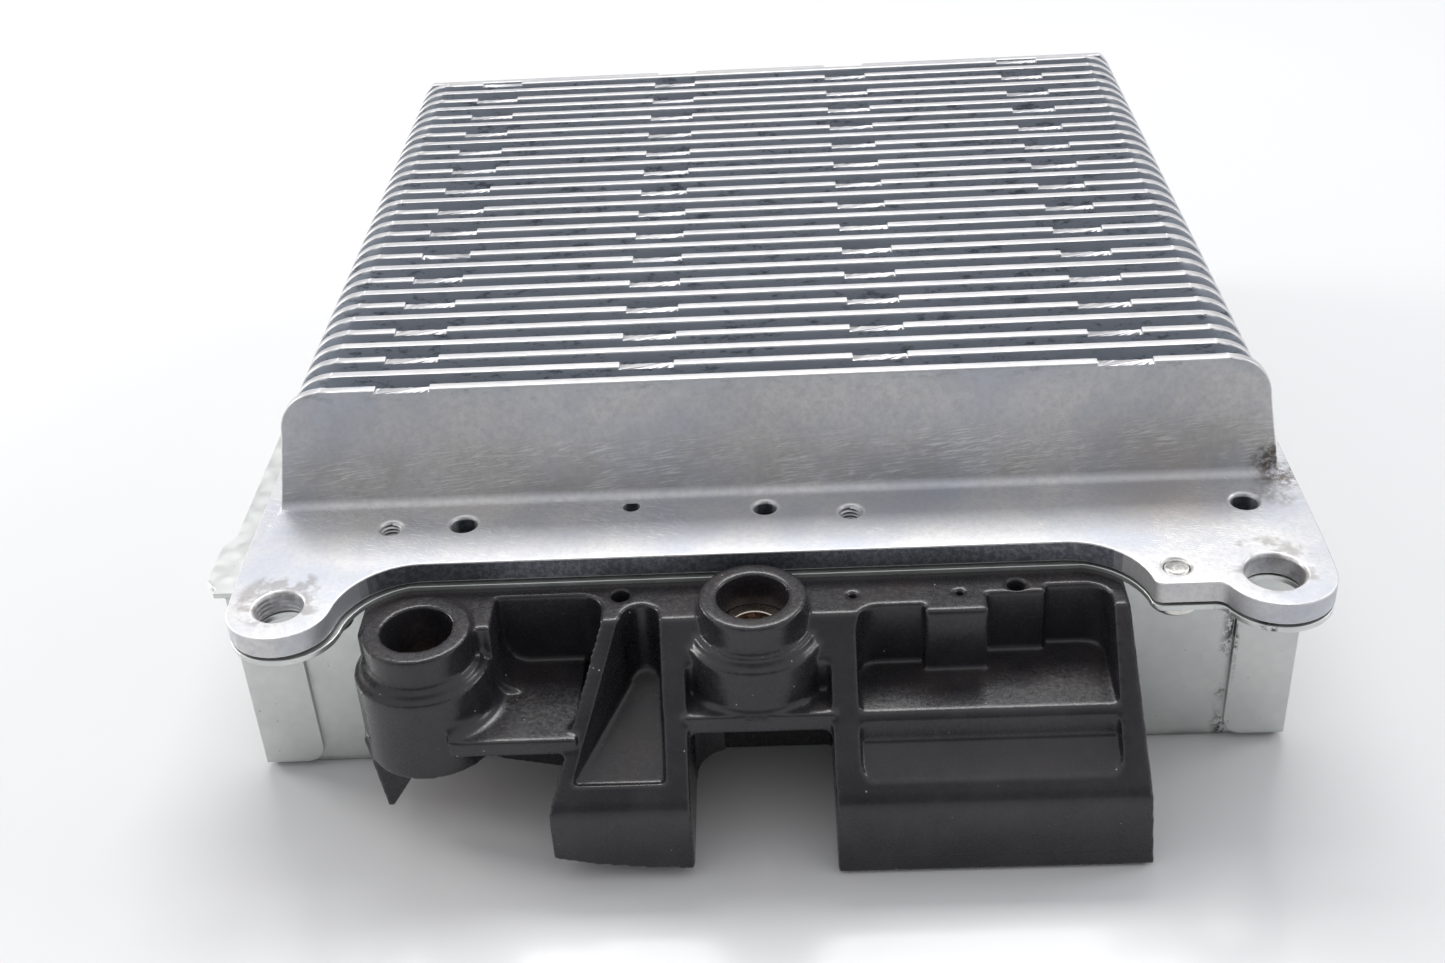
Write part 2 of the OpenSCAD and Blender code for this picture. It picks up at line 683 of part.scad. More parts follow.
module terminal_block() {
    color([0.16, 0.16, 0.165]) translate([0, tray_front, plate_top]) difference() {
        union() {
            // back plate and top flange
            translate([blk_left, -3, -41]) cube([hood_r_x1 - 2.6 - blk_left, 3 + sheet_t, 41 + blk_top]);
            // neck that enters the tray
            along_y(0, sheet_t + neck_in) round_rect(neck_x0, neck_z0, neck_x1, neck_z1, 3);
            right_hood();
            left_hood();
            // left boss with the body behind it
            boss([boss_l[0], boss_l[1]], boss_l_top, boss_l_floor, boss_base_l_r);
            translate([blk_left, boss_l[1], boss_l_floor]) cube([22.4, -boss_l[1], blk_top - boss_l_floor]);
            // flank that spreads from the boss body down to the shelf
            along_y(-12.5, 0) {
                translate([blk_left + 22, shelf_top]) square([3, blk_top - shelf_top]);
                corner_fill(blk_left + 25 - eps, shelf_top - eps, flank_r, 1, 1);
            }
            intersection() {
                translate([boss_l[0], boss_l[1], shelf_top]) foot_fillet(boss_base_l_r, 3);
                translate([shelf_x0, -shelf_d, shelf_top - over]) cube([30, shelf_d, 20]);
            }
            // shelf between the left boss and the left hood
            translate([shelf_x0, -shelf_d, shelf_top - shelf_t]) cube([24, shelf_d, shelf_t]);
            // round inside corner where the recess meets the left hood
            translate([0, 0, shelf_top - eps]) linear_extrude(blk_top - shelf_top)
                corner_fill(hood_l_x0 + eps, -3 + eps, recess_rad, -1, -1);
            // ribs under the shelf
            along_y(-8, -3) polygon([[-70, -24], [-70, -37], [-56, -43], [-42, -46], [-36, -46], [-36, -24]]);
            along_y(-20, -16) polygon([[-79.8, -26], [-77.6, -43.4], [-76.4, -43.4], [-71, -35], [-64, -30],
                [-60, -26]]);
            // centre boss, the body behind it and the web between the hoods
            translate([boss_c[0], boss_c[1], web_top]) foot_fillet(boss_base_c_r - 0.5, 1.8);
            boss(boss_c, boss_c_top, boss_c_floor, boss_base_c_r);
            intersection() {
                along_x(hood_l_x2 - 1, hood_r_x0 + 1) hood_profile();
                translate([hood_l_x2 - 1, -fill_d, web_z]) cube([gap_w + 2, fill_d, blk_top - web_z]);
            }
            translate([hood_l_x2 - 1, -web_d, web_z]) cube([gap_w + 2, web_d, web_top - web_z]);
            // round corners under the web, and the apron behind it
            along_y(-web_d, 0) {
                corner_fill(hood_l_x2 - eps, web_z + eps, web_rad, 1, -1);
                corner_fill(hood_r_x0 + eps, web_z + eps, web_rad, -1, -1);
            }
            translate([hood_l_x2 - 1, -3, apron_z]) cube([gap_w + 2, 3, web_z - apron_z]);
            translate([hood_l_x2 - 1, gusset_y, gusset_z]) cube([gusset_w + 1, gusset_t, web_z - gusset_z + eps]);
            along_y(gusset_y, gusset_y + gusset_t)
                corner_fill(hood_l_x2 - eps, gusset_z + eps, gusset_rad, 1, -1);
        }
        for (b = [boss_l, boss_c])
            translate([b[0], b[1], -60]) cylinder(d = boss_bore, h = 70, $fn = 72);
        for (p = blind_holes) translate([p[0], p[1], blk_top - 6]) cylinder(d = p[2], h = 8);
        bar_slot(boss_l[0], boss_l_floor - busbar_t);
        bar_slot(boss_c[0], web_z - busbar_t);
        // hollow inside the neck
        along_y(sheet_t + 1.5, sheet_t + neck_in + 1)
            round_rect(neck_x0 + 2.5, neck_z0 + 2.5, neck_x1 - 2.5, neck_z1 - 2.5, 2);
        for (p = block_screw_at) translate([p[0], -2, p[1]]) rotate([-90, 0, 0])
            cylinder(d = 3, h = 5);
        // groove for the seal
        along_y(sheet_t - seal_t, sheet_t + eps) seal_outline();
        for (i = [0:pin_count - 1]) for (r = [0, 1])
            translate([pin_x0 + i * pin_pitch, 0, pin_z[r]]) rotate([90, 0, 0])
                cylinder(d = pin_d + 0.2, h = 30, center = true);
    }
}

module seal_outline() {
    difference() {
        round_rect(neck_x0 - 2.6, neck_z0 - 2.6, neck_x1 + 2.6, neck_z1 + 2.6, 5);
        round_rect(neck_x0 - 0.8, neck_z0 - 0.8, neck_x1 + 0.8, neck_z1 + 0.8, 3.6);
    }
}

module block_seal() {
    color([0.45, 0.16, 0.12]) translate([0, tray_front, plate_top])
        along_y(sheet_t - seal_t, sheet_t) seal_outline();
}

module block_screws() {
    color([0.8, 0.8, 0.78]) for (p = block_screw_at)
        translate([p[0], tray_front + 2 * sheet_t, plate_top + p[1]]) rotate([90, 0, 0])
            pan_screw(3, 2 * sheet_t + 1.4, 6, 2);
}

module terminal_bush(at, top, foot) {
    color([0.72, 0.55, 0.42]) translate([at[0], tray_front + at[1], plate_top + foot]) difference() {
        cylinder(d = bush_od, h = top - foot, $fn = 72);
        translate([0, 0, -1]) cylinder(d = bush_bore, h = top - foot + 2);
    }
}

module left_terminal_bush() {
    terminal_bush(boss_l, boss_l_top - 12, boss_l_floor);
}

module centre_terminal_bush() {
    terminal_bush(boss_c, boss_c_top - 7, web_z);
}

// Copper bar from under a boss, through the neck and up to the board.
module busbar(at, top_z) {
    color([0.78, 0.47, 0.32]) translate([at[0], tray_front, plate_top + top_z - busbar_t]) {
        difference() {
            union() {
                translate([0, at[1], 0]) cylinder(d = 17, h = busbar_t);
                translate([-bar_half, at[1], 0]) cube([2 * bar_half, bar_in - at[1], busbar_t]);
            }
            translate([0, at[1], -1]) cylinder(d = bush_bore, h = busbar_t + 2);
        }
        rise = board_z - board_t - plate_top - top_z + busbar_t;
        translate([-bar_half, bar_in - busbar_t, 0]) cube([2 * bar_half, busbar_t, rise]);
        translate([-bar_half, bar_in - busbar_t, rise - busbar_t]) difference() {
            cube([2 * bar_half, 14, busbar_t]);
            translate([bar_half, 8, -1]) cylinder(d = 4.3, h = busbar_t + 2);
        }
    }
}

module input_busbar() {
    busbar(boss_l, boss_l_floor);
}

module output_busbar() {
    busbar(boss_c, web_z);
}

module busbar_screws() {
    color([0.8, 0.8, 0.78]) for (b = [boss_l, boss_c])
        translate([b[0], tray_front + bar_in - busbar_t + 8, board_z - board_t - busbar_t])
            pan_screw(4, busbar_t + board_t + 2, 7.6, 2.6);
}

module signal_header() {
    color([0.75, 0.73, 0.66]) translate([0, tray_front, plate_top]) difference() {
        translate([pin_x0 - 4, -18.5, -30]) cube([(pin_count - 1) * pin_pitch + 8, 12.5, 6]);
        for (i = [0:pin_count - 1]) for (r = [0, 1]) {
            translate([pin_x0 + i * pin_pitch, pin_y[r], -31]) cylinder(d = pin_d, h = pin_z[r] + 31);
            translate([pin_x0 + i * pin_pitch, 0, pin_z[r]]) rotate([90, 0, 0]) cylinder(d = pin_d, h = -pin_y[r]);
            translate([pin_x0 + i * pin_pitch, pin_y[r], pin_z[r]]) sphere(d = pin_d);
        }
    }
}

module signal_pins() {
    color([0.8, 0.68, 0.35]) translate([0, tray_front, plate_top])
        for (i = [0:pin_count - 1]) for (r = [0, 1]) translate([pin_x0 + i * pin_pitch, 0, 0]) {
            translate([0, pin_y[r], -43]) cylinder(d = pin_d, h = pin_z[r] + 43);
            translate([0, sheet_t + neck_in + 4, pin_z[r]]) rotate([90, 0, 0])
                cylinder(d = pin_d, h = sheet_t + neck_in + 4 - pin_y[r]);
            translate([0, pin_y[r], pin_z[r]]) sphere(d = pin_d);
        }
}

// ---------- electronics ----------

module insulating_liner() {
    color([0.85, 0.84, 0.76]) translate([tray_left + 4, tray_front + 14, sheet_t])
        cube([tray_w - 8, tray_d - 20, liner_t]);
}

module power_board() {
    color([0.10, 0.30, 0.18]) translate([0, 0, board_z - board_t]) difference() {
        translate([-board_w / 2, -93, 0]) cube([board_w, board_d, board_t]);
        for (p = board_posts) translate([p[0], p[1], -1]) cylinder(d = 3.4, h = board_t + 2);
        translate([trafo_at[0] - core_w / 2 - 1, trafo_at[1] - core_d / 2 - 1, -1])
            cube([core_w + 2, core_d + 2, board_t + 2]);
        translate([choke_at[0], choke_at[1], -1]) cylinder(d = choke_od + 5, h = board_t + 2, $fn = 72);
        for (b = [boss_l, boss_c])
            translate([b[0], tray_front + bar_in - busbar_t + 8, -1]) cylinder(d = 4.3, h = board_t + 2);
        for (x = transistor_rows) for (i = [0:transistor_count - 1])
            translate([x - 3, transistor_y0 + i * transistor_pitch - transistor_w / 2, 0])
                lead_holes(x);
    }
}

// Three slots in the board for the leads of one transistor.
module lead_holes(x) {
    for (k = [0:2]) translate([lead_x(x) - x + 3 - 0.8, transistor_w / 2 + (k - 1) * lead_pitch - 0.8, -1])
        cube([1.6, 1.6, board_t + 2]);
}

function lead_x(x) = x > 0 ? x - transistor_l / 2 - 3 : x + transistor_l / 2 + 3;

module board_screws() {
    color([0.8, 0.8, 0.78]) for (p = board_posts) translate([p[0], p[1], board_z - board_t])
        pan_screw(small_screw_d, board_t + 7, small_head_d, small_head_h);
}

module insulator_pads() {
    color([0.75, 0.6, 0.65]) for (x = transistor_rows) for (y = transistor_y)
        translate([x - transistor_l / 2 - 1, y - transistor_w / 2 - 1, block_z - pad_t])
            cube([transistor_l + 2, transistor_w + 2, pad_t]);
}

module power_transistors() {
    color([0.13, 0.13, 0.14]) for (x = transistor_rows) for (y = transistor_y)
        translate([x - transistor_l / 2, y - transistor_w / 2, block_z - pad_t - transistor_t])
            cube([transistor_l, transistor_w, transistor_t]);
}

module transistor_leads() {
    color([0.82, 0.82, 0.8]) for (x = transistor_rows) for (y = transistor_y) for (k = [-1, 0, 1]) {
        s = x > 0 ? -1 : 1;
        z = block_z - pad_t - transistor_t / 2;
        translate([x + s * transistor_l / 2 + (s > 0 ? 0 : -3.5), y + k * lead_pitch - lead_w / 2, z - 0.3])
            cube([3.5, lead_w, 0.6]);
        translate([lead_x(x) - lead_w / 2, y + k * lead_pitch - lead_w / 2, board_z - board_t - 1.5])
            cube([lead_w, lead_w, z - board_z + board_t + 1.5]);
    }
}

module clamp_bars() {
    color([0.7, 0.72, 0.74]) for (x = transistor_rows) difference() {
        translate([x - bar_w / 2, transistor_y0 - 10, block_z - pad_t - transistor_t - bar_t])
            cube([bar_w, transistor_run + 20, bar_t]);
        for (y = clamp_screw_y) translate([x, y, block_z - 20]) cylinder(d = 3.3, h = 20);
    }
}

module clamp_screws() {
    color([0.8, 0.8, 0.78]) for (x = transistor_rows) for (y = clamp_screw_y)
        translate([x, y, block_z - pad_t - transistor_t - bar_t])
            pan_screw(small_screw_d, pad_t + transistor_t + bar_t + 4.5, small_head_d, small_head_h);
}

// E-shaped core half, legs pointing up.
module core_half_shape() {
    translate([-core_w / 2, -core_d / 2, 0]) difference() {
        cube([core_w, core_d, core_half]);
        for (x = [core_web, core_w - core_web - core_window]) translate([x, -1, core_web])
            cube([core_window, core_d + 2, core_half]);
    }
}

module transformer_core_upper() {
    color([0.22, 0.22, 0.24]) translate([trafo_at[0], trafo_at[1], block_z - pad_t]) mirror([0, 0, 1])
        core_half_shape();
}

module transformer_core_lower() {
    color([0.22, 0.22, 0.24]) translate([trafo_at[0], trafo_at[1], block_z - pad_t - 2 * core_half])
        core_half_shape();
}

module transformer_winding() {
    mid = block_z - pad_t - core_half;
    half = core_half - core_web - 0.3;
    color([0.72, 0.42, 0.2]) translate([trafo_at[0], trafo_at[1], mid - half]) difference() {
        translate([-core_w / 2 + core_web + 0.3, -core_d / 2 - 9, 0])
            cube([core_w - 2 * core_web - 0.6, core_d + 18, 2 * half]);
        translate([-core_mid / 2 - 0.3, -core_d / 2 - 0.3, -1]) cube([core_mid + 0.6, core_d + 0.6, 2 * half + 2]);
    }
}

module transformer_pad() {
    color([0.6, 0.65, 0.72]) translate([trafo_at[0] - core_w / 2, trafo_at[1] - core_d / 2, block_z - pad_t])
        cube([core_w, core_d, pad_t]);
}

module choke_core() {
    color([0.30, 0.33, 0.30]) translate([choke_at[0], choke_at[1], choke_z]) difference() {
        cylinder(d = choke_od - 6, h = choke_h - 6, $fn = 72);
        translate([0, 0, -1]) cylinder(d = choke_id + 6, h = choke_h, $fn = 72);
    }
}

module choke_winding() {
    color([0.72, 0.42, 0.2]) translate([choke_at[0], choke_at[1], choke_z]) difference() {
        translate([0, 0, -3]) cylinder(d = choke_od, h = choke_h, $fn = 72);
        translate([0, 0, -4]) cylinder(d = choke_id, h = choke_h + 2, $fn = 72);
        difference() {
            cylinder(d = choke_od - 6, h = choke_h - 6, $fn = 72);
            translate([0, 0, -1]) cylinder(d = choke_id + 6, h = choke_h, $fn = 72);
        }
    }
}

module storage_capacitors() {
    color([0.12, 0.13, 0.2]) for (p = can_at) translate([p[0], p[1], board_z - board_t - can_l])
        cylinder(d = can_d, h = can_l);
}

module film_capacitors() {
    color([0.75, 0.6, 0.2]) for (p = film_at) translate([p[0] - film_size[0] / 2, p[1] - film_size[1] / 2,
                                                        board_z - board_t - film_size[2]])
        cube(film_size);
}

module control_board() {
    color([0.10, 0.30, 0.18]) translate([control_at[0], control_at[1], control_z]) difference() {
        cube([control_size[0], control_size[1], board_t]);
        for (p = control_holes) translate([p[0], p[1], -1]) cylinder(d = 3.2, h = board_t + 2);
    }
}

module board_spacers() {
    color([0.8, 0.75, 0.55]) for (p = control_holes)
        translate([control_at[0] + p[0], control_at[1] + p[1], control_z + board_t]) difference() {
            cylinder(d = 5.5, h = board_z - 2 * board_t - control_z, $fn = 6);
            translate([0, 0, -1]) cylinder(d = 3, h = 30);
        }
}

module control_chips() {
    color([0.13, 0.13, 0.14]) translate([control_at[0], control_at[1], control_z - chip_t])
        for (c = chips) translate([c[0][0], c[0][1], 0]) cube([c[1][0], c[1][1], chip_t]);
}

heatsink();
flange_frame();
tray();
spot_welds();
lid_gasket();
tray_screws();
terminal_block();
block_seal();
block_screws();
left_terminal_bush();
centre_terminal_bush();
input_busbar();
output_busbar();
busbar_screws();
signal_header();
signal_pins();
insulating_liner();
power_board();
board_screws();
insulator_pads();
power_transistors();
transistor_leads();
clamp_bars();
clamp_screws();
transformer_core_upper();
transformer_core_lower();
transformer_winding();
transformer_pad();
choke_core();
choke_winding();
storage_capacitors();
film_capacitors();
control_board();
board_spacers();
control_chips();
pressure_vent();
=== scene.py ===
import json
import math
import random

import bmesh
import bpy
from mathutils import Matrix, Vector


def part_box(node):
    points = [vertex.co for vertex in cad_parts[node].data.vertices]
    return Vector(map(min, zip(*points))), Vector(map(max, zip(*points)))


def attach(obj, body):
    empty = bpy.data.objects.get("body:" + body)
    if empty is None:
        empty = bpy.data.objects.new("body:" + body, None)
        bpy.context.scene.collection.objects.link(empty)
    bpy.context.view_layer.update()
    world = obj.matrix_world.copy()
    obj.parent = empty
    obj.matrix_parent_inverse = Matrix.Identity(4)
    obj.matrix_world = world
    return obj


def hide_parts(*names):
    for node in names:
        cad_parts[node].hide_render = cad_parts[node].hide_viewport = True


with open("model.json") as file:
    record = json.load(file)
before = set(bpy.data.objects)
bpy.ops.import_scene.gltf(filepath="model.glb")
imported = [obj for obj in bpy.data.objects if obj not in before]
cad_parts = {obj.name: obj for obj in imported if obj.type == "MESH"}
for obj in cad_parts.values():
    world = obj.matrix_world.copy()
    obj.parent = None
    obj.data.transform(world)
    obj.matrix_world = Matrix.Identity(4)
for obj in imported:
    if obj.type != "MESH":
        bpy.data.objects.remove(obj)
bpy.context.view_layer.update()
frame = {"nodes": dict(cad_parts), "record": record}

# One millimetre in the scene's metres.
MM = 0.001

# ---------- camera ----------

# Place in metres, then how far the camera looks down, turns left and leans, in degrees.
CAMERA_PLACE = Vector((0.0037, -0.3803, 0.2443))
CAMERA_DOWN = 33.14
CAMERA_TURN = 2.73
CAMERA_ROLL = -3.57
# Lens and sensor in millimetres.
LENS = 43.57
SENSOR_WIDTH = 36.0
# Nothing nearer or farther than this is drawn, in metres.
NEAREST = 0.01
FARTHEST = 20.0


def make_camera():
    data = bpy.data.cameras.new("camera")
    data.lens = LENS
    data.sensor_width = SENSOR_WIDTH
    data.clip_start = NEAREST
    data.clip_end = FARTHEST
    camera = bpy.data.objects.new("camera", data)
    bpy.context.scene.collection.objects.link(camera)
    turn = Matrix.Rotation(math.radians(CAMERA_TURN), 4, "Z")
    tilt = Matrix.Rotation(math.radians(90.0 - CAMERA_DOWN), 4, "X")
    roll = Matrix.Rotation(math.radians(CAMERA_ROLL), 4, "Z")
    camera.matrix_world = Matrix.Translation(CAMERA_PLACE) @ turn @ tilt @ roll
    bpy.context.scene.camera = camera


make_camera()

# ---------- places taken from the frame ----------

CASTING_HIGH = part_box("heatsink")[1]
TRAY_LOW, TRAY_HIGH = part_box("tray")
BLOCK_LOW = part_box("terminal_block")[0]
GASKET_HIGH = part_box("lid_gasket")[1]

# Thickness of the cast plate, and the height of its upper face.
PLATE_T = 4.5 * MM
PLATE_TOP = GASKET_HIGH.z + PLATE_T
# The front foot of the wide wall stands this far behind the front of the tray.
WALL_SETBACK = 21.5 * MM
WALL_FOOT_Y = TRAY_LOW.y + WALL_SETBACK
# The notches across the fin tops are this deep.
NOTCH_DEPTH = 0.7 * MM
# The right corner flap of the tray covers this much of its front.
FLAP_WIDTH = 12.5 * MM
# The mould line of the black block runs this far above its lowest point.
SEAM_RISE = 3.6 * MM


def mount_place(name):
    """Where the record puts a fixing point."""
    for mount in frame["record"]["mounts"]:
        if mount["name"] == name:
            return Vector(mount["pos_m"])
    raise ValueError(name)


# ---------- materials ----------


def soft_steps(tree, value, limits):
    """Ramps a socket smoothly; limits are start, end and the results at start and at end."""
    node = tree.nodes.new("ShaderNodeMapRange")
    node.interpolation_type = "SMOOTHSTEP"
    tree.links.new(value, node.inputs["Value"])
    for socket, number in zip(("From Min", "From Max", "To Min", "To Max"), limits):
        node.inputs[socket].default_value = number
    return node.outputs["Result"]


def opaque(colour):
    """A colour socket as it is, or three numbers with full opacity added."""
    if isinstance(colour, bpy.types.NodeSocket):
        return colour
    return (*colour, 1.0)


class Finish:
    """One node material, with short calls for the nodes it is built from."""

    def __init__(self, name, roughness=0.5, metallic=0.0, **sockets):
        self.material = bpy.data.materials.new(name)
        self.material.use_nodes = True
        self.tree = self.material.node_tree
        self.shader = self.tree.nodes["Principled BSDF"]
        self.shader.inputs["Roughness"].default_value = roughness
        self.shader.inputs["Metallic"].default_value = metallic
        for socket, value in sockets.items():
            self.shader.inputs[socket.replace("_", " ")].default_value = value
        self.place = self.tree.nodes.new("ShaderNodeTexCoord").outputs["Object"]
        self.normal = None

    def join(self, value, socket):
        """Links a socket, or sets a constant on it."""
        if isinstance(value, bpy.types.NodeSocket):
            self.tree.links.new(value, socket)
        else:
            socket.default_value = value

    def turned(self, stretch, turn):
        """Object coordinates, turned and then stretched along X, Y and Z."""
        turner = self.tree.nodes.new("ShaderNodeMapping")
        turner.inputs["Rotation"].default_value = [math.radians(a) for a in turn]
        self.join(self.place, turner.inputs["Vector"])
        stretcher = self.tree.nodes.new("ShaderNodeMapping")
        stretcher.inputs["Scale"].default_value = [1.0 / s for s in stretch]
        self.join(turner.outputs["Vector"], stretcher.inputs["Vector"])
        return stretcher.outputs["Vector"]

    def noise(self, size, detail=2.0, rough=0.5, stretch=None, turn=(0, 0, 0)):
        """Noise whose patches are about size millimetres across."""
        node = self.tree.nodes.new("ShaderNodeTexNoise")
        node.inputs["Scale"].default_value = 1.0 / (size * MM)
        node.inputs["Detail"].default_value = detail
        node.inputs["Roughness"].default_value = rough
        source = self.turned(stretch, turn) if stretch else self.place
        self.join(source, node.inputs["Vector"])
        return node.outputs["Fac"]

    def cells(self, size):
        """Distance to the nearest of scattered points about size millimetres apart."""
        node = self.tree.nodes.new("ShaderNodeTexVoronoi")
        node.inputs["Scale"].default_value = 1.0 / (size * MM)
        self.join(self.place, node.inputs["Vector"])
        return node.outputs["Distance"]

    def ramp(self, value, start, end, low=0.0, high=1.0):
        """Goes softly from low to high as the value goes from start to end."""
        return soft_steps(self.tree, value, (start, end, low, high))

    def math(self, kind, a, b=0.0):
        node = self.tree.nodes.new("ShaderNodeMath")
        node.operation = kind
        self.join(a, node.inputs[0])
        self.join(b, node.inputs[1])
        return node.outputs["Value"]

    def times(self, *values):
        """Product of two or more masks."""
        product = values[0]
        for value in values[1:]:
            product = self.math("MULTIPLY", product, value)
        return product

    def most(self, *values):
        """Highest of two or more masks."""
        top = values[0]
        for value in values[1:]:
            top = self.math("MAXIMUM", top, value)
        return top

    def axis(self, letter):
        """Object coordinate along one axis, in metres."""
        node = self.tree.nodes.new("ShaderNodeSeparateXYZ")
        self.join(self.place, node.inputs["Vector"])
        return node.outputs[letter]

    def facing(self, letter):
        """Component of the surface direction along one axis."""
        geometry = self.tree.nodes.new("ShaderNodeNewGeometry")
        node = self.tree.nodes.new("ShaderNodeSeparateXYZ")
        self.join(geometry.outputs["True Normal"], node.inputs["Vector"])
        return node.outputs[letter]

    def spot(self, centre, radius, soft=0.5):
        """1 at a point, fading to 0 at the radius in millimetres."""
        node = self.tree.nodes.new("ShaderNodeVectorMath")
        node.operation = "DISTANCE"
        self.join(self.place, node.inputs[0])
        node.inputs[1].default_value = centre
        return self.ramp(node.outputs["Value"], radius * MM, radius * soft * MM)

    def rounded_edge_mask(self):
        """1 on rounded edges, 0 elsewhere."""
        node = self.tree.nodes.new("ShaderNodeAttribute")
        node.attribute_name = "rounded_edge_mask"
        return node.outputs["Fac"]

    def outward_edges(self):
        """Above one half on outward edges of a finely meshed piece."""
        return self.tree.nodes.new("ShaderNodeNewGeometry").outputs["Pointiness"]

    def tint(self, mask, first, second):
        """Colour that goes from first to second as the mask goes from 0 to 1."""
        node = self.tree.nodes.new("ShaderNodeMix")
        node.data_type = "RGBA"
        self.join(mask, node.inputs["Factor"])
        # inputs 6 and 7 and output 2 are the ones for colours
        self.join(opaque(first), node.inputs[6])
        self.join(opaque(second), node.inputs[7])
        return node.outputs[2]

    def relief(self, value, depth):
        """Adds bumps of that depth in millimetres over those already there."""
        node = self.tree.nodes.new("ShaderNodeBump")
        node.inputs["Strength"].default_value = 1.0
        node.inputs["Distance"].default_value = depth * MM
        self.join(value, node.inputs["Height"])
        if self.normal:
            self.join(self.normal, node.inputs["Normal"])
        self.normal = node.outputs["Normal"]

    def done(self, colour, roughness=None):
        """Joins the colour, the roughness and the bumps to the shader."""
        self.join(colour, self.shader.inputs["Base Color"])
        if roughness:
            self.join(roughness, self.shader.inputs["Roughness"])
        if self.normal:
            self.join(self.normal, self.shader.inputs["Normal"])
        return self.material


def casting_clouds(f, mottle):
    """Broad clouds of lighter and bluer metal under a fine mottle."""
    clouds = f.ramp(f.noise(26, 4, 0.6), 0.35, 0.65)
    colour = f.tint(clouds, (0.545, 0.565, 0.615), (0.70, 0.685, 0.675))
    return f.tint(f.ramp(mottle, 0.35, 0.7, 0.0, 0.55), colour, (0.50, 0.50, 0.52))


def fin_region(f):
    """1 on the fins behind the wide wall, 0 on the plate and the wall's front."""
    above = f.ramp(f.axis("Z"), PLATE_TOP + 1.0 * MM, PLATE_TOP + 2.0 * MM)
    behind = f.ramp(f.axis("Y"), WALL_FOOT_Y + 1.5 * MM, WALL_FOOT_Y + 2.5 * MM)
    return f.times(above, behind)


def fin_sides(f, colour, in_fins):
    """Paints shade on the sides of the fins: darker and bluer than their tops, with flecks."""
    flecks = f.noise(2.0, 6, 0.75, stretch=(2.5, 1, 1))
    fin_side_shade_colour = f.tint(f.ramp(flecks, 0.52, 0.66), (0.52, 0.55, 0.60), (0.22, 0.24, 0.27))
    return f.tint(f.times(in_fins, f.ramp(f.facing("Z"), 0.6, 0.3)), colour, fin_side_shade_colour)


def fin_tops(f, colour, top):
    """Makes the tops of the fins paler, in patches."""
    patches = f.ramp(f.noise(6, 3, 0.6), 0.3, 0.7, 0.3, 0.9)
    return f.tint(f.times(top, patches), colour, (0.72, 0.71, 0.71))


def plate_rim(f, colour):
    """Gives the rim of the plate that faces the front between the lugs a darker blue."""
    rim = f.times(f.ramp(f.axis("Z"), PLATE_TOP + 0.3 * MM, PLATE_TOP - 0.4 * MM),
                  f.ramp(f.facing("Y"), -0.6, -0.85),
                  f.ramp(f.axis("Y"), TRAY_LOW.y - 9 * MM, TRAY_LOW.y - 3 * MM))
    blotches = f.ramp(f.noise(1.1, 5, 0.75), 0.4, 0.64)
    return f.tint(rim, colour, f.tint(blotches, (0.12, 0.13, 0.15), (0.24, 0.25, 0.28)))


def low_wall_region(f):
    """1 on the lower half of the wide wall's front."""
    return f.times(f.ramp(f.axis("Z"), PLATE_TOP + 16 * MM, PLATE_TOP + 9 * MM),
                   f.ramp(f.axis("Z"), PLATE_TOP + 0.5 * MM, PLATE_TOP + 2.5 * MM),
                   f.ramp(f.facing("Z"), 0.6, 0.3),
                   f.ramp(f.axis("Y"), WALL_FOOT_Y + 2 * MM, WALL_FOOT_Y + 1 * MM))


def wall_scratches(f, low_wall):
    """Fine scratches low on the front of the wall, in two near-upright directions."""
    slant = f.noise(0.22, 2, 0.5, stretch=(26, 26, 1), turn=(0, 5, 0))
    steep = f.noise(0.24, 2, 0.5, stretch=(16, 16, 1), turn=(0, 15, 0))
    lines = f.most(f.ramp(slant, 0.5, 0.68), f.ramp(steep, 0.56, 0.68))
    return f.times(lines, low_wall, f.ramp(f.noise(9, 3, 0.6), 0.38, 0.62, 0.15, 1.0))


def plate_scratches(f):
    """Fine scratches that lie across the plate in two directions, in patches."""
    swirl = f.noise(0.24, 2, 0.5, stretch=(16, 1, 16), turn=(0, 0, 16))
    cross = f.noise(0.24, 2, 0.5, stretch=(11, 1, 11), turn=(0, 0, 52))
    lines = f.most(f.ramp(swirl, 0.58, 0.7), f.ramp(cross, 0.62, 0.72))
    return f.times(lines,
                   f.ramp(f.facing("Z"), 0.8, 0.95),
                   f.ramp(f.axis("Z"), PLATE_TOP + 1 * MM, PLATE_TOP + 0.3 * MM),
                   f.ramp(f.noise(20, 3, 0.5), 0.45, 0.6))


def plate_spot(f, x, behind, above, radius, soft):
    """A spot on the plate, measured in millimetres from the foot of the wide wall."""
    return f.spot((x * MM, WALL_FOOT_Y + behind * MM, PLATE_TOP + above * MM), radius, soft)


def casting_stains(f):
    """Brown grime in the right corner of the wall, fainter before it and round the lugs."""
    ragged = f.ramp(f.noise(1.6, 5, 0.7), 0.38, 0.6)
    soft = f.ramp(f.noise(3.5, 3, 0.5), 0.46, 0.6)
    marks = [f.times(plate_spot(f, 100, -0.5, 3, 8, 0.25), ragged)]
    for mount in ("right_lug_bore", "left_lug_bore"):
        lug = mount_place(mount)
        ring = f.spot((lug.x, lug.y + 2.2 * MM, PLATE_TOP), 9.6, 0.8)
        marks.append(f.times(ring, soft, 0.4))
    marks.append(f.times(plate_spot(f, 97.5, -7.5, 0, 6, 0.3), ragged, 0.45))
    return f.most(*marks)


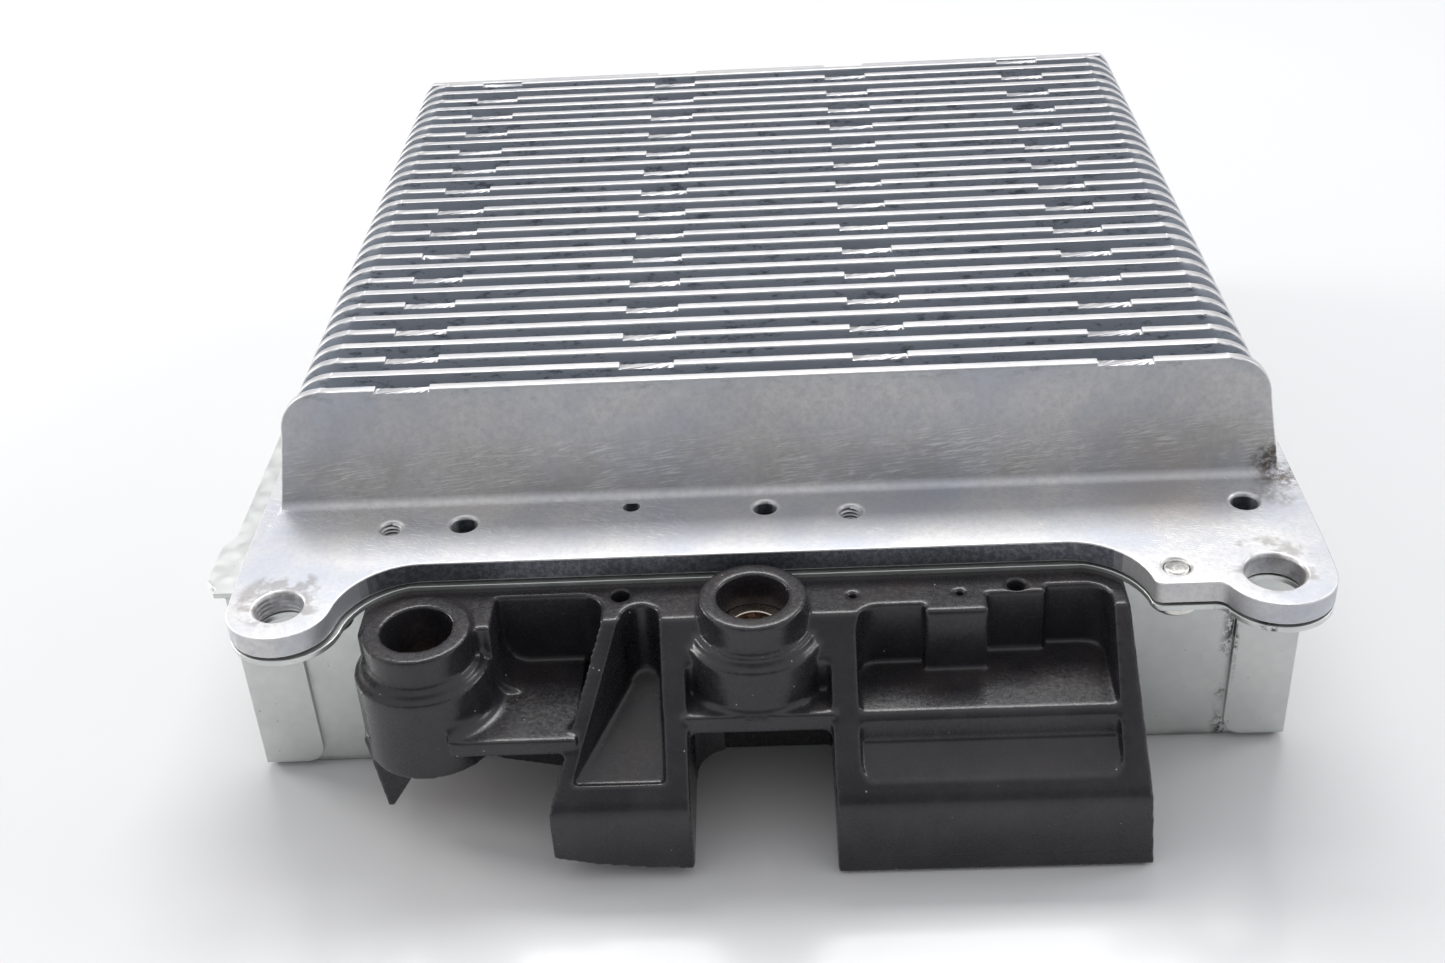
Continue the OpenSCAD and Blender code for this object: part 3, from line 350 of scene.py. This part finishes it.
def cast_aluminium():
    f = Finish("cast_aluminium", metallic=0.82)
    mottle = f.noise(1.3, 6, 0.75)
    in_fins = fin_region(f)
    top = f.times(in_fins, f.ramp(f.facing("Z"), 0.5, 0.85))
    colour = casting_clouds(f, mottle)
    colour = fin_sides(f, colour, in_fins)
    colour = fin_tops(f, colour, top)
    colour = plate_rim(f, colour)
    # a shade low on the wall, and bright scratches over it and over the plate
    low_wall = low_wall_region(f)
    shade = f.times(low_wall, f.ramp(f.noise(10, 4, 0.6), 0.4, 0.7, 0.25, 0.75))
    colour = f.tint(f.times(shade, 0.7), colour, (0.45, 0.43, 0.40))
    marks = f.most(wall_scratches(f, low_wall), plate_scratches(f))
    colour = f.tint(f.times(marks, 0.7), colour, (0.92, 0.92, 0.91))
    # bright edges: wear, and a painted highlight on the rounded edges
    rounded_edge_mask = f.times(f.rounded_edge_mask(), f.ramp(f.noise(1.2, 4, 0.7), 0.3, 0.55, 0.45, 1.0))
    colour = f.tint(f.times(rounded_edge_mask, 0.7), colour, (0.84, 0.83, 0.82))
    # brown stains, and a warm tinge on the right of the plate
    colour = f.tint(casting_stains(f), colour, (0.13, 0.105, 0.085))
    colour = f.tint(f.times(plate_spot(f, 76, -8, 0, 18, 0.1), 0.35), colour, (0.60, 0.52, 0.43))
    # blasted grain, cut through by the scratches
    f.relief(f.noise(0.5, 3, 0.7), 0.04)
    f.relief(marks, -0.02)
    roughness = f.ramp(mottle, 0.2, 0.8, 0.40, 0.58)
    return f.done(colour, f.math("SUBTRACT", roughness, f.times(f.most(rounded_edge_mask, top), 0.08)))


def zinc_steel():
    f = Finish("zinc_plated_steel", metallic=0.85)
    spangle = f.cells(2.4)
    clouds = f.ramp(f.noise(22, 3, 0.5), 0.35, 0.65)
    colour = f.tint(clouds, (0.64, 0.66, 0.645), (0.72, 0.735, 0.715))
    colour = f.tint(f.ramp(spangle, 0.2, 0.8, 0.0, 0.18), colour, (0.54, 0.565, 0.555))
    # rubbed black marks beside the right flap, dark specks, and painted shadow along the bottom
    # edge
    right_edge = TRAY_HIGH.x - FLAP_WIDTH
    across = f.axis("X")
    rub = f.times(f.ramp(across, right_edge - 3 * MM, right_edge - 0.3 * MM),
                  f.ramp(across, right_edge + 1.2 * MM, right_edge + 0.2 * MM),
                  f.ramp(f.noise(1.3, 5, 0.8), 0.47, 0.53),
                  f.ramp(f.noise(14, 2, 0.5), 0.36, 0.48))
    specks = f.ramp(f.noise(1.1, 3, 0.5), 0.72, 0.78)
    bottom_shadow = f.times(f.ramp(f.axis("Z"), 3.0 * MM, 0.6 * MM),
                   f.ramp(f.noise(5, 4, 0.6), 0.3, 0.7, 0.3, 0.9))
    dark = f.most(rub, f.times(specks, 0.7), f.times(bottom_shadow, 0.55))
    colour = f.tint(dark, colour, (0.10, 0.10, 0.10))
    colour = f.tint(f.times(f.rounded_edge_mask(), 0.6), colour, (0.85, 0.86, 0.84))
    f.relief(f.noise(0.7, 3, 0.6), 0.015)
    f.relief(f.noise(0.3, 2, 0.5, stretch=(1, 1, 12)), 0.006)
    return f.done(colour, f.ramp(f.noise(4, 4, 0.6), 0.25, 0.75, 0.30, 0.46))


def weld_steel():
    f = Finish("weld_steel", metallic=0.9)
    colour = f.tint(f.ramp(f.noise(1.2, 4, 0.6), 0.3, 0.7), (0.36, 0.36, 0.36), (0.56, 0.55, 0.54))
    f.relief(f.noise(0.5, 4, 0.6), 0.05)
    return f.done(colour, f.ramp(f.noise(0.8, 3, 0.6), 0.3, 0.7, 0.35, 0.6))


def black_plastic():
    f = Finish("black_glass_filled_plastic", metallic=0.0)
    clouds = f.noise(12, 4, 0.6)
    colour = f.tint(f.ramp(clouds, 0.35, 0.7), (0.0150, 0.0142, 0.0172), (0.0270, 0.0250, 0.0285))
    # short glass fibres lying in two directions near the surface
    fibre_a = f.noise(0.4, 2, 0.5, stretch=(4, 1, 1), turn=(20, 10, 32))
    fibre_b = f.noise(0.4, 2, 0.5, stretch=(1, 4, 1), turn=(10, 30, -25))
    fibres = f.most(f.ramp(fibre_a, 0.58, 0.72), f.ramp(fibre_b, 0.58, 0.72))
    colour = f.tint(f.times(fibres, 0.4), colour, (0.035, 0.032, 0.032))
    # scattered bright specks of dust
    specks = f.ramp(f.cells(2.6), 0.075, 0.045)
    chosen = f.ramp(f.noise(4, 2, 0.5), 0.55, 0.62)
    colour = f.tint(f.times(specks, chosen), colour, (0.5, 0.47, 0.43))
    # warm dust on floors that face up
    dust = f.times(f.ramp(f.facing("Z"), 0.7, 0.98), f.ramp(f.noise(8, 4, 0.6), 0.35, 0.7))
    colour = f.tint(f.times(dust, 0.26), colour, (0.050, 0.036, 0.028))
    # edges painted paler: rubbing, and a painted highlight
    edge = f.ramp(f.outward_edges(), 0.515, 0.56)
    patches = f.ramp(f.noise(0.9, 4, 0.7), 0.42, 0.7)
    colour = f.tint(f.times(edge, patches, 0.4), colour, (0.085, 0.075, 0.07))
    f.relief(f.noise(0.45, 3, 0.65), 0.014)
    f.relief(f.noise(4, 3, 0.5), 0.03)
    # the line where the two halves of the mould meet, low on the right hood
    joint = f.math("ABSOLUTE", f.math("SUBTRACT", f.axis("Z"), BLOCK_LOW.z + SEAM_RISE))
    seam = f.times(f.ramp(joint, 0.22 * MM, 0.08 * MM), f.ramp(f.axis("X"), 8 * MM, 9 * MM))
    f.relief(seam, -0.06)
    return f.done(colour, f.ramp(f.noise(0.9, 4, 0.7), 0.25, 0.75, 0.17, 0.33))


def plain_metal(name, dark, light, low=0.25, high=0.42, grain=0.8):
    """Clouded bare metal, brighter on its edges, with roughness from low to high."""
    f = Finish(name, metallic=1.0)
    colour = f.tint(f.ramp(f.noise(grain * 5, 4, 0.6), 0.3, 0.7), dark, light)
    bright = tuple(min(1.0, c * 1.25) for c in light)
    colour = f.tint(f.times(f.rounded_edge_mask(), 0.4), colour, bright)
    f.relief(f.noise(grain, 3, 0.6), 0.012)
    return f.done(colour, f.ramp(f.noise(grain * 2, 3, 0.6), 0.3, 0.7, low, high))


def plain_matter(name, dark, light, low=0.4, high=0.6, grain=0.8, depth=0.02):
    """Clouded rubber, plastic or ceramic with a fine grain, with roughness from low to high."""
    f = Finish(name, metallic=0.0)
    colour = f.tint(f.ramp(f.noise(grain * 6, 4, 0.6), 0.3, 0.7), dark, light)
    f.relief(f.noise(grain, 3, 0.6), depth)
    return f.done(colour, f.ramp(f.noise(grain * 2, 3, 0.6), 0.3, 0.7, low, high))


def board_laminate():
    f = Finish("board_laminate", metallic=0.0)
    tracks = f.ramp(f.noise(1.4, 1, 0.4, stretch=(6, 1, 1)), 0.47, 0.53)
    colour = f.tint(tracks, (0.010, 0.075, 0.035), (0.018, 0.13, 0.06))
    f.relief(tracks, 0.035)
    f.relief(f.noise(0.5, 2, 0.5), 0.01)
    return f.done(colour, f.ramp(f.noise(3, 3, 0.6), 0.3, 0.7, 0.22, 0.36))


def enamelled_copper():
    f = Finish("enamelled_copper", metallic=0.9)
    strands = f.ramp(f.noise(0.8, 1, 0.3, stretch=(1, 9, 9)), 0.4, 0.6)
    colour = f.tint(strands, (0.42, 0.16, 0.06), (0.74, 0.36, 0.16))
    f.relief(strands, 0.2)
    return f.done(colour, f.ramp(strands, 0.0, 1.0, 0.42, 0.24))


# Each row: dark colour, light colour, lowest roughness, highest roughness. Ferrite also has
# the size of its grain and the depth of its bumps.
METALS = {
    "screw_steel": ((0.62, 0.62, 0.58), (0.82, 0.80, 0.76), 0.14, 0.28),
    "terminal_metal": ((0.50, 0.36, 0.27), (0.78, 0.70, 0.64), 0.2, 0.36),
    "copper": ((0.62, 0.27, 0.15), (0.82, 0.44, 0.28), 0.2, 0.38),
    "gold_contact": ((0.75, 0.55, 0.22), (0.90, 0.72, 0.34), 0.15, 0.25),
    "tinned_leads": ((0.60, 0.60, 0.60), (0.78, 0.78, 0.77), 0.2, 0.36),
    "spring_steel": ((0.46, 0.47, 0.49), (0.62, 0.63, 0.65), 0.24, 0.38),
    "spacer_brass": ((0.60, 0.48, 0.22), (0.78, 0.64, 0.34), 0.2, 0.34),
}
MATTERS = {
    "gasket_rubber": ((0.012, 0.012, 0.013), (0.03, 0.03, 0.03), 0.6, 0.8),
    "seal_rubber": ((0.16, 0.035, 0.022), (0.24, 0.06, 0.035), 0.5, 0.7),
    "header_plastic": ((0.50, 0.47, 0.38), (0.62, 0.59, 0.50), 0.4, 0.6),
    "liner_sheet": ((0.62, 0.60, 0.48), (0.74, 0.72, 0.60), 0.35, 0.5),
    "thermal_pad": ((0.40, 0.44, 0.52), (0.52, 0.56, 0.62), 0.6, 0.8),
    "component_black": ((0.012, 0.012, 0.013), (0.024, 0.024, 0.025), 0.4, 0.6),
    "ferrite": ((0.03, 0.03, 0.032), (0.055, 0.054, 0.056), 0.4, 0.62, 0.6, 0.03),
    "capacitor_sleeve": ((0.008, 0.010, 0.022), (0.016, 0.02, 0.04), 0.25, 0.4),
    "film_capacitor_case": ((0.50, 0.30, 0.05), (0.62, 0.40, 0.08), 0.3, 0.45),
    "vent_plastic": ((0.014, 0.014, 0.015), (0.028, 0.028, 0.03), 0.45, 0.65),
}
MATERIALS = {
    "cast_aluminium": cast_aluminium(),
    "zinc_plated_steel": zinc_steel(),
    "weld_steel": weld_steel(),
    "black_glass_filled_plastic": black_plastic(),
    "board_laminate": board_laminate(),
    "enamelled_copper": enamelled_copper(),
}
for metal, looks in METALS.items():
    MATERIALS[metal] = plain_metal(metal, *looks)
for matter, looks in MATTERS.items():
    MATERIALS[matter] = plain_matter(matter, *looks)

# ---------- pieces ----------


def slot_of(node):
    """The record's material slot of a CAD node."""
    for row in frame["record"]["subparts"]:
        if row["node"] == node:
            return row["material_slot"]
    raise ValueError(node)


def finish_piece(bm, name, slot, node=None, sharp=40.0):
    """Makes the finished object from a bmesh, gives it its material and sets it on the body."""
    mesh = bpy.data.meshes.new(name)
    for face in bm.faces:
        face.smooth = True
    bm.to_mesh(mesh)
    bm.free()
    mesh.set_sharp_from_angle(angle=math.radians(sharp))
    piece = bpy.data.objects.new(name, mesh)
    bpy.context.scene.collection.objects.link(piece)
    mesh.materials.append(MATERIALS[slot])
    even = piece.modifiers.new("even_normals", "WEIGHTED_NORMAL")
    even.keep_sharp = True
    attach(piece, "root")
    if node:
        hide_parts(node)
    return piece


def merged(node, reach=0.004):
    """A copy of a CAD mesh with its loose triangles joined."""
    bm = bmesh.new()
    bm.from_mesh(frame["nodes"][node].data)
    bmesh.ops.remove_doubles(bm, verts=bm.verts, dist=reach * MM)
    return bm


def round_edges(bm, width, segments=2, angle=30.0, keep=None):
    """Rounds every edge sharper than the angle, and marks the new faces as rounded edges."""
    sharp = [e for e in bm.edges if len(e.link_faces) == 2
             and e.calc_face_angle() > math.radians(angle) and (keep is None or keep(e))]
    made = bmesh.ops.bevel(bm, geom=sharp, offset=width * MM, offset_type="OFFSET",
                           segments=segments, profile=0.5, affect="EDGES",
                           clamp_overlap=False, material=-1)
    layer = bm.loops.layers.float.new("rounded_edge_mask")
    for face in made["faces"]:
        for loop in face.loops:
            loop[layer] = 1.0


def rounded(name, node, width):
    """A CAD piece with its sharp edges rounded."""
    bm = merged(node)
    round_edges(bm, width)
    return finish_piece(bm, name, slot_of(node), node)


# Level of the notch floors in the fin tops, and how far off it still counts as level.
NOTCH_FLOOR = CASTING_HIGH.z - NOTCH_DEPTH
LEVEL_SLACK = 0.05 * MM
# Lips shorter than this stay straight.
SHORTEST_LIP = 8 * MM
# Longer ones are cut this often, and chipped by up to this many millimetres.
LIP_CUTS = 13
CHIP_DEPTH = 0.14
# Edges this far below the notch floors, or nearer, are chipped ones and aren't rounded.
CHIPPED_ZONE = 0.2 * MM
# Shorter edges than this are left as they are.
SHORTEST_ROUNDED = 0.2 * MM


def is_lip(edge):
    """True for a long edge along a fin, level with the floor of a notch."""
    first, last = edge.verts
    level = all(abs(v.co.z - NOTCH_FLOOR) < LEVEL_SLACK for v in edge.verts)
    along = abs(first.co.y - last.co.y) < LEVEL_SLACK
    return edge.calc_length() > SHORTEST_LIP and level and along and edge.calc_face_angle(0) > 1.0


def chip_notch_lips(bm):
    """Breaks the straight lips of the notches in the fin tops into ragged ones."""
    lips = [e for e in bm.edges if is_lip(e)]
    cut = bmesh.ops.subdivide_edges(bm, edges=lips, cuts=LIP_CUTS)
    chipped = [v for v in cut["geom_inner"] if isinstance(v, bmesh.types.BMVert)]
    chance = random.Random(11)
    for vert in chipped:
        vert.co.z -= chance.uniform(0.0, CHIP_DEPTH) * MM
    wide = [f for f in bm.faces if len(f.verts) > 4]
    bmesh.ops.triangulate(bm, faces=wide)


def is_rounded(edge):
    """False for very short edges and for the chipped ones in the notches."""
    low = min(v.co.z for v in edge.verts)
    high = max(v.co.z for v in edge.verts)
    in_notch = NOTCH_FLOOR - CHIPPED_ZONE < low and high < NOTCH_FLOOR + LEVEL_SLACK
    return edge.calc_length() > SHORTEST_ROUNDED and not in_notch


def heatsink_casting():
    """The finned casting, with rounded edges that stay below its highest point."""
    bm = merged("heatsink", reach=0.06)
    chip_notch_lips(bm)
    round_edges(bm, width=0.3, keep=is_rounded)
    for vert in bm.verts:
        vert.co.z = min(vert.co.z, CASTING_HIGH.z)
    return finish_piece(bm, "heatsink_casting", "cast_aluminium", "heatsink")


def moulded(name, node, voxel, passes, faces):
    """A CAD shape with the soft edges and filled corners of a moulding.

    The voxels are in millimetres, passes is how often the skin is smoothed, and faces is
    the share of the faces that is kept.
    """
    bm = merged(node)
    mesh = bpy.data.meshes.new(name)
    bm.to_mesh(mesh)
    bm.free()
    rough = bpy.data.objects.new(name, mesh)
    bpy.context.scene.collection.objects.link(rough)
    skin = rough.modifiers.new("skin", "REMESH")
    skin.mode = "VOXEL"
    skin.voxel_size = voxel * MM
    soften = rough.modifiers.new("soften", "SMOOTH")
    soften.factor = 0.5
    soften.iterations = passes
    thin = rough.modifiers.new("thin", "DECIMATE")
    thin.ratio = faces
    shaped = rough.evaluated_get(bpy.context.evaluated_depsgraph_get())
    bm = bmesh.new()
    bm.from_mesh(shaped.data)
    bpy.data.objects.remove(rough)
    bpy.data.meshes.remove(mesh)
    return finish_piece(bm, name, slot_of(node), node, sharp=70.0)


# Steps in one turn of a screw thread.
THREAD_STEPS = 36
# The ridge is sunk this far into the wall of its hole, in millimetres.
THREAD_SUNK = 0.03


def thread(name, centre, bore, pitch, low, high, depth):
    """A screw thread standing inside a round hole: one closed ridge wound upward.

    All sizes are in millimetres.
    """
    turns = (high - low) / pitch - 1.0
    bm = bmesh.new()
    outer = bore / 2 * MM + THREAD_SUNK * MM
    inner = bore / 2 * MM - depth * MM
    corners = [(outer, 0.06), (inner, pitch * 0.42), (inner, pitch * 0.58), (outer, pitch * 0.94)]
    ring = [bm.verts.new((centre[0] + r, centre[1], low * MM + h * MM)) for r, h in corners]
    face = bm.faces.new(ring)
    bmesh.ops.spin(bm, geom=[face], cent=(centre[0], centre[1], 0), axis=(0, 0, 1),
                   dvec=(0, 0, pitch * MM / THREAD_STEPS), angle=math.tau * turns,
                   steps=round(THREAD_STEPS * turns), use_merge=False, use_duplicate=False)
    bmesh.ops.recalc_face_normals(bm, faces=bm.faces)
    return finish_piece(bm, name, "cast_aluminium")


# Section of a weld from its middle outward: share of the radius, share of the height.
WELD_SECTION = ((0.0, 0.75), (0.5, 0.7), (0.68, 0.45), (0.78, 0.4),
                (0.88, 0.95), (0.97, 0.6), (1.0, -0.3))
# Steps round one weld.
WELD_STEPS = 40
# How far the skin of a weld strays from its section, in millimetres.
WELD_UNEVEN = 0.015


def weld_spots():
    """Four low domes with a ring round each, squeezed into the sheet by the welder."""
    low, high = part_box("spot_welds")
    radius = (high.z - low.z) / 2
    level = (high.z + low.z) / 2
    rise = abs(low.y - TRAY_LOW.y)
    bm = bmesh.new()
    for x in (low.x + radius, high.x - radius):
        for y, way in ((TRAY_LOW.y, -1), (TRAY_HIGH.y, 1)):
            line = [bm.verts.new((x + r * radius, y + way * h * rise, level))
                    for r, h in WELD_SECTION]
            edges = [bm.edges.new(pair) for pair in zip(line, line[1:])]
            bmesh.ops.spin(bm, geom=line + edges, cent=(x, y, level), axis=(0, 1, 0),
                           angle=math.tau, steps=WELD_STEPS, use_merge=True)
    bmesh.ops.remove_doubles(bm, verts=bm.verts, dist=0.002 * MM)
    bmesh.ops.recalc_face_normals(bm, faces=bm.faces)
    chance = random.Random(5)
    for vert in bm.verts:
        vert.co.y += chance.uniform(-WELD_UNEVEN, WELD_UNEVEN) * MM
    return finish_piece(bm, "weld_spots", "weld_steel", "spot_welds")


# The threads end this far below the upper face of the plate, in millimetres.
THREAD_CHAMFER = 0.3
# Bore, pitch and depth of the bracket threads and of the finer one, in millimetres.
BRACKET_THREAD = (4.3, 0.8, 0.34)
LUG_THREAD = (9.0, 1.0, 0.2)


def threads():
    """The two bracket threads in the front strip, and the finer one in the left lug."""
    under = GASKET_HIGH.z / MM
    top = PLATE_TOP / MM - THREAD_CHAMFER
    holes = (("bracket_thread_left_turns", "bracket_thread_left", BRACKET_THREAD),
             ("bracket_thread_centre_turns", "bracket_thread_centre", BRACKET_THREAD),
             ("left_lug_turns", "left_lug_bore", LUG_THREAD))
    for name, mount, (bore, pitch, depth) in holes:
        thread(name, mount_place(mount), bore, pitch, under, top, depth)


# Each row: name of the finished piece, CAD node, rounding of its edges in millimetres.
ROUNDED = (
    ("tray_shell", "tray", 0.2),
    ("lid_frame", "flange_frame", 0.15),
    ("lid_screws", "tray_screws", 0.2),
    ("block_fixing_screws", "block_screws", 0.15),
    ("left_bush", "left_terminal_bush", 0.3),
    ("centre_bush", "centre_terminal_bush", 0.3),
    ("input_bar", "input_busbar", 0.2),
    ("output_bar", "output_busbar", 0.2),
    ("bar_screws", "busbar_screws", 0.15),
    ("transistor_bodies", "power_transistors", 0.3),
    ("clamping_bars", "clamp_bars", 0.15),
    ("ferrite_upper", "transformer_core_upper", 0.4),
    ("ferrite_lower", "transformer_core_lower", 0.4),
    ("capacitor_cans", "storage_capacitors", 0.6),
    ("film_capacitor_boxes", "film_capacitors", 0.4),
    ("breather_vent", "pressure_vent", 0.3),
    ("header_body", "signal_header", 0.15),
    ("chip_bodies", "control_chips", 0.12),
)

heatsink_casting()
moulded("terminal_block_moulding", "terminal_block", voxel=0.4, passes=9, faces=0.33)
weld_spots()
threads()
for piece_name, node_name, edge_width in ROUNDED:
    rounded(piece_name, node_name, edge_width)

# the pieces that stay as they come from the CAD model get their materials too
for name, node in frame["nodes"].items():
    node.data.materials.clear()
    node.data.materials.append(MATERIALS[slot_of(name)])

# ---------- studio ----------

# Half the width of the table, in metres.
FLOOR_REACH = 5.0


def floor_finish():
    """Pale gloss, very slightly clouded."""
    f = Finish("pale_table", metallic=0.0)
    colour = f.tint(f.noise(120, 2, 0.5), (0.725, 0.727, 0.732), (0.75, 0.75, 0.753))
    return f.done(colour, f.ramp(f.noise(60, 2, 0.5), 0.3, 0.7, 0.16, 0.22))


def make_floor():
    bm = bmesh.new()
    bmesh.ops.create_grid(bm, x_segments=2, y_segments=2, size=FLOOR_REACH)
    mesh = bpy.data.meshes.new("floor")
    bm.to_mesh(mesh)
    bm.free()
    floor = bpy.data.objects.new("floor", mesh)
    bpy.context.scene.collection.objects.link(floor)
    floor.data.materials.append(floor_finish())


def soft_light(name, place, aim, size, watts, tint=(1.0, 1.0, 1.0)):
    """A rectangular lamp at a place, turned toward its aim."""
    data = bpy.data.lights.new(name, "AREA")
    data.shape = "RECTANGLE"
    data.size, data.size_y = size
    data.energy = watts
    data.color = tint
    lamp = bpy.data.objects.new(name, data)
    bpy.context.scene.collection.objects.link(lamp)
    toward = Vector(aim) - Vector(place)
    turn = toward.to_track_quat("-Z", "Y").to_matrix().to_4x4()
    lamp.matrix_world = Matrix.Translation(Vector(place)) @ turn


# How bright the room is by direction, from front (-1) to back (1). Each row: the two
# directions the change runs between, and the brightness at the first and at the second.
FRONT_DIM = (-0.95, -0.45, 0.24, 0.86)
BACK_DIM = (0.30, 0.85, 1.0, 0.62)
ROOM_COLOUR = (0.97, 0.975, 1.0, 1.0)


def make_room():
    """A pale room, dark on the viewer's side and a little dimmer behind the object."""
    world = bpy.data.worlds.new("studio")
    bpy.context.scene.world = world
    world.use_nodes = True
    tree = world.node_tree
    backdrop = tree.nodes["Background"]
    way = tree.nodes.new("ShaderNodeTexCoord")
    split = tree.nodes.new("ShaderNodeSeparateXYZ")
    tree.links.new(way.outputs["Generated"], split.inputs["Vector"])
    both = tree.nodes.new("ShaderNodeMath")
    both.operation = "MULTIPLY"
    for limits, socket in zip((FRONT_DIM, BACK_DIM), both.inputs):
        tree.links.new(soft_steps(tree, split.outputs["Y"], limits), socket)
    backdrop.inputs["Color"].default_value = ROOM_COLOUR
    tree.links.new(both.outputs["Value"], backdrop.inputs["Strength"])


def make_studio():
    """The room and three soft lamps: a broad one above, a warm one left and a cool one right."""
    make_room()
    soft_light("overhead", (0.0, 0.5, 1.0), aim=(0, 0, 0), size=(0.75, 0.34), watts=7.0)
    soft_light("left", (-1.0, 0.35, 0.50), aim=(0, 0, 0.03), size=(0.42, 0.26), watts=4.6,
               tint=(1.0, 0.985, 0.96))
    soft_light("right", (1.1, 0.2, 0.7), aim=(0, 0, 0.03), size=(0.4, 0.3), watts=2.2,
               tint=(0.93, 0.96, 1.0))


make_floor()
make_studio()
bpy.context.scene.view_settings.view_transform = "Standard"
